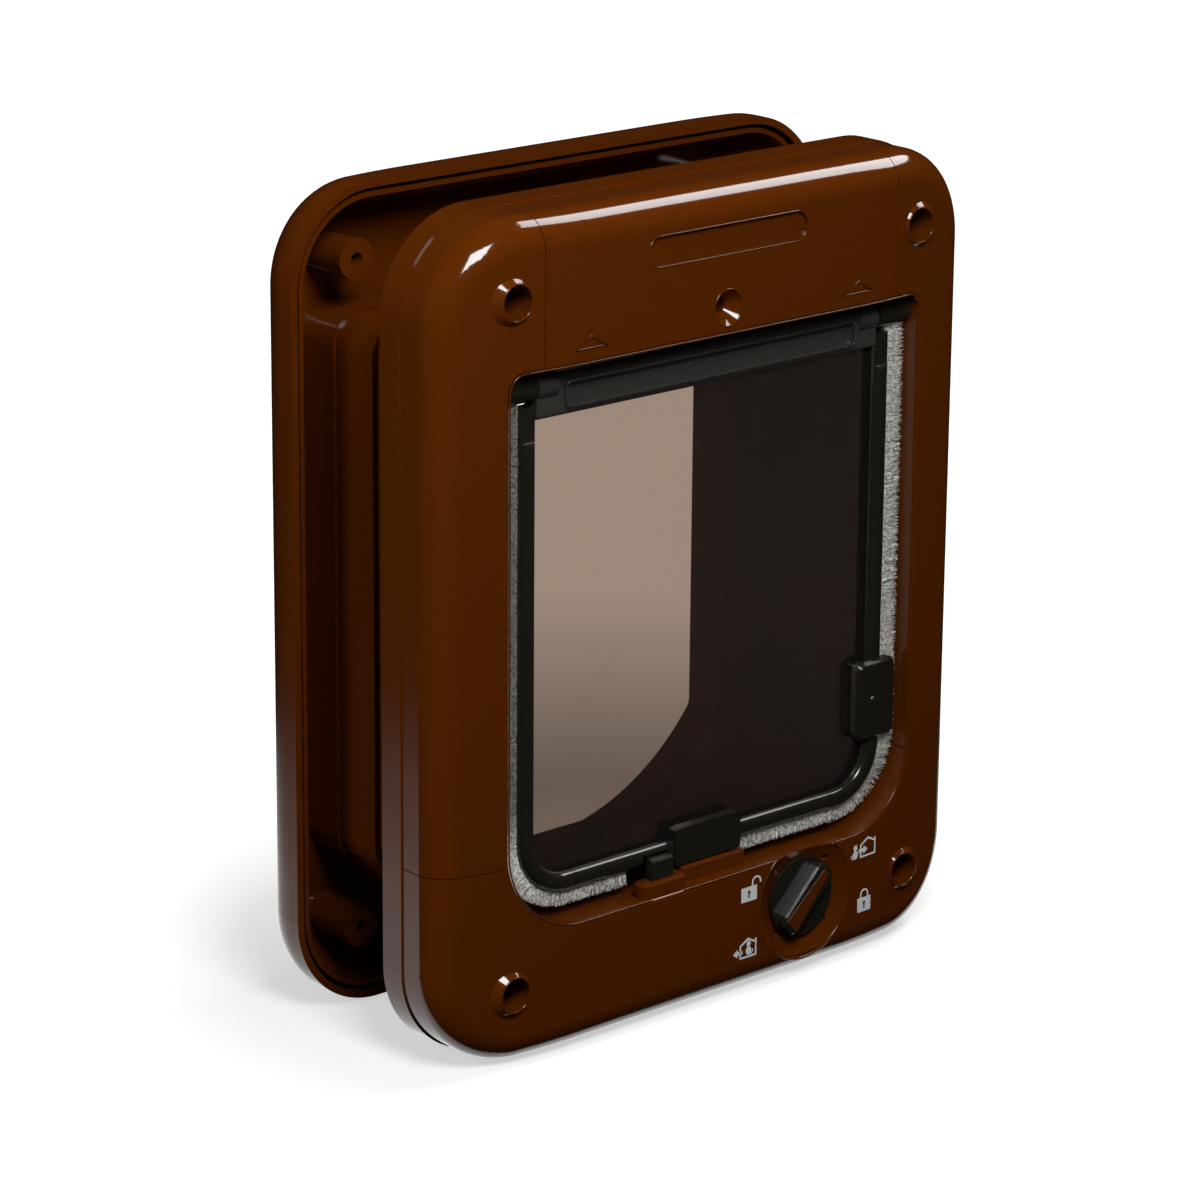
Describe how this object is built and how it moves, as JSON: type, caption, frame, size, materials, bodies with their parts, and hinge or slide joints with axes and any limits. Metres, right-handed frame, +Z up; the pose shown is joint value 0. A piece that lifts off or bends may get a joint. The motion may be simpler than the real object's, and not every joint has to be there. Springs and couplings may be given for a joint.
{
  "type": "cat flap",
  "caption": "Lockable cat flap for a door: a room-side and a street-side frame with telescoping sleeves, a clear brush-edged swinging flap, a four-way knob and two lift bolts.",
  "frame": {"origin": "under the middle of the part, on the plane that its two frames stand on", "axes": "+Z up the door, +Y through the door from the room to the street, +X to the right seen from the room"},
  "size_m": [0.198, 0.0988, 0.238],
  "materials": {
    "brown_plastic": "gloss",
    "black_plastic": "satin",
    "smoked_pane": "clear, lightly smoked",
    "brush_pile": "pale grey-beige pile",
    "magnet_steel": "plain",
    "pin_steel": "plain"
  },
  "bodies": {
    "room_frame": {"base_frame": "brown_plastic", "front_surround": "brown_plastic", "hinge_cover": "brown_plastic", "lower_cover": "brown_plastic", "keeper_magnet": "magnet_steel"},
    "street_frame": {"outer_frame": "brown_plastic"},
    "flap": {"flap_pane": "smoked_pane", "bottom_rim": "black_plastic", "left_rim": "black_plastic", "right_rim": "black_plastic", "hinge_bar": "black_plastic", "left_hinge_pin": "pin_steel", "right_hinge_pin": "pin_steel", "flap_magnet": "magnet_steel", "left_brush": "brush_pile", "right_brush": "brush_pile", "lower_left_brush": "brush_pile", "lower_right_brush": "brush_pile"},
    "knob": {"lock_knob": "black_plastic", "knob_pointer": "brown_plastic", "lock_cam": "black_plastic", "cam_screw": "pin_steel"},
    "front_lock": {"front_bolt": "black_plastic"},
    "rear_lock": {"rear_bolt": "black_plastic"}
  },
  "joints": [
    {"name": "flap_swing", "type": "hinge", "parent": "room_frame", "child": "flap", "pos_m": [0, -0.0386, 0.19], "axis": [1, 0, 0], "range_deg": [-85, 85]},
    {"name": "knob_turn", "type": "hinge", "parent": "room_frame", "child": "knob", "pos_m": [0.0341, -0.0446, 0.0234], "axis": [0, 1, 0], "range_deg": [-90, 180]},
    {"name": "front_bolt_lift", "type": "slide", "parent": "room_frame", "child": "front_lock", "axis": [0, 0, 1], "range_m": [0, 0.0055]},
    {"name": "rear_bolt_lift", "type": "slide", "parent": "room_frame", "child": "rear_lock", "axis": [0, 0, 1], "range_m": [0, 0.0055]},
    {"name": "sleeve_slide", "type": "slide", "parent": "room_frame", "child": "street_frame", "axis": [0, 1, 0], "range_m": [-0.016, 0.008]}
  ]
}
